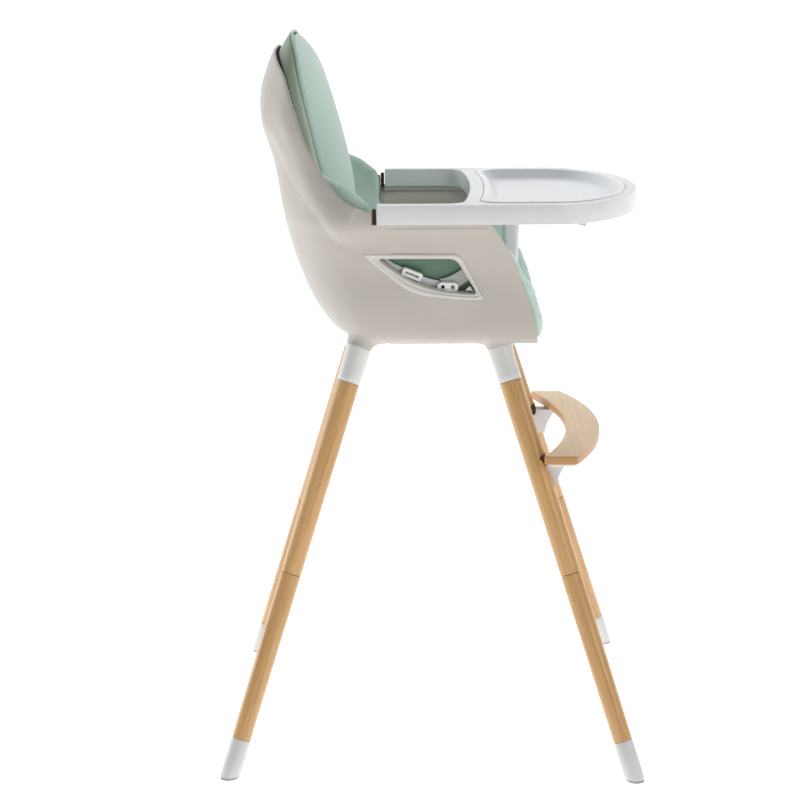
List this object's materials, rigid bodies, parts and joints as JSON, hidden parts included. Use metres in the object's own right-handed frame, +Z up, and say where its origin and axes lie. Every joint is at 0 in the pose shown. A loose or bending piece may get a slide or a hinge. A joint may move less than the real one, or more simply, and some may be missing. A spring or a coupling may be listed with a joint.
{
  "type": "baby high chair",
  "caption": "High chair with a moulded bucket seat, padded cushion, waist harness, removable sliding tray with lift-out insert, wooden legs and a curved footrest.",
  "frame": {"origin": "on the floor, at the centre of the outline seen from above", "axes": "+X towards the tray and the feet of the sitter, +Y to the left of the sitter, +Z up"},
  "size_m": [0.5536, 0.5682, 0.949],
  "materials": {
    "leg_wood": "clear satin lacquer over solid beech",
    "plywood": "bent plywood, clear lacquer, darker ply edge",
    "collar_plastic": "white moulded plastic",
    "pad_rubber": "dark grey rubber",
    "steel": "plain zinc-plated steel",
    "shell_plastic": "warm grey moulded plastic, fine satin texture",
    "trim_plastic": "light warm grey moulded plastic",
    "cushion_leather": "pale mint synthetic leather over foam",
    "liner_leather": "darker mint synthetic leather",
    "tray_plastic": "white satin plastic",
    "insert_plastic": "cool white satin plastic",
    "lever_plastic": "light grey plastic",
    "webbing": "grey woven webbing",
    "harness_plastic": "white moulded plastic",
    "bracket_plastic": "light grey moulded plastic",
    "footrest_white": "white moulded plastic"
  },
  "bodies": {
    "chair": {"back_liner": "liner_leather", "back_pad": "cushion_leather", "bracket_screws": "steel", "buckle_body": "harness_plastic", "crotch_strap": "webbing", "foot_cap_front_left": "collar_plastic", "foot_cap_front_right": "collar_plastic", "foot_cap_rear_left": "collar_plastic", "foot_cap_rear_right": "collar_plastic", "foot_pads": "pad_rubber", "footrest_board": "plywood", "footrest_bracket_left": "bracket_plastic", "footrest_bracket_right": "bracket_plastic", "footrest_pads": "pad_rubber", "footrest_plate": "footrest_white", "leg_bosses": "shell_plastic", "leg_joint_studs": "steel", "leg_socket_front_left": "collar_plastic", "leg_socket_front_right": "collar_plastic", "leg_socket_rear_left": "collar_plastic", "leg_socket_rear_right": "collar_plastic", "leg_top_studs": "steel", "lower_leg_front_left": "leg_wood", "lower_leg_front_right": "leg_wood", "lower_leg_rear_left": "leg_wood", "lower_leg_rear_right": "leg_wood", "opening_trim_left": "trim_plastic", "opening_trim_right": "trim_plastic", "rail_screws": "steel", "seat_pad": "cushion_leather", "seat_shell": "shell_plastic", "side_pad_left": "cushion_leather", "side_pad_right": "cushion_leather", "socket_screws": "steel", "strap_slider_left": "harness_plastic", "strap_slider_right": "harness_plastic", "tray_rail_left": "shell_plastic", "tray_rail_right": "shell_plastic", "tray_stops": "pad_rubber", "upper_leg_front_left": "leg_wood", "upper_leg_front_right": "leg_wood", "upper_leg_rear_left": "leg_wood", "upper_leg_rear_right": "leg_wood", "waist_clip_left": "harness_plastic", "waist_clip_right": "harness_plastic", "waist_strap_left": "webbing", "waist_strap_right": "webbing"},
    "tray": {"tray_body": "tray_plastic", "crotch_post": "tray_plastic", "post_screws": "steel", "latch_pins": "steel"},
    "tray_insert": {"tray_insert": "insert_plastic"},
    "latch_lever_left": {"latch_lever_left": "lever_plastic"},
    "latch_lever_right": {"latch_lever_right": "lever_plastic"},
    "buckle_button": {"buckle_button": "harness_plastic"}
  },
  "joints": [
    {"name": "tray_slide", "type": "slide", "parent": "chair", "child": "tray", "axis": [1, 0, 0], "range_m": [0, 0.3]},
    {"name": "insert_lift", "type": "slide", "parent": "tray", "child": "tray_insert", "axis": [0, 0, 1], "range_m": [0, 0.05]},
    {"name": "latch_left_squeeze", "type": "hinge", "parent": "tray", "child": "latch_lever_left", "pos_m": [0.1, 0.2085, 0.7295], "axis": [0, 1, 0], "range_deg": [0, 4], "stiffness_Nm_per_rad": 2},
    {"name": "latch_right_squeeze", "type": "hinge", "parent": "tray", "child": "latch_lever_right", "pos_m": [0.1, -0.2085, 0.7295], "axis": [0, 1, 0], "range_deg": [0, 4], "stiffness_Nm_per_rad": 2},
    {"name": "buckle_press", "type": "slide", "parent": "chair", "child": "buckle_button", "axis": [0, 0, -1], "range_m": [0, 0.003], "stiffness_N_per_m": 800}
  ]
}
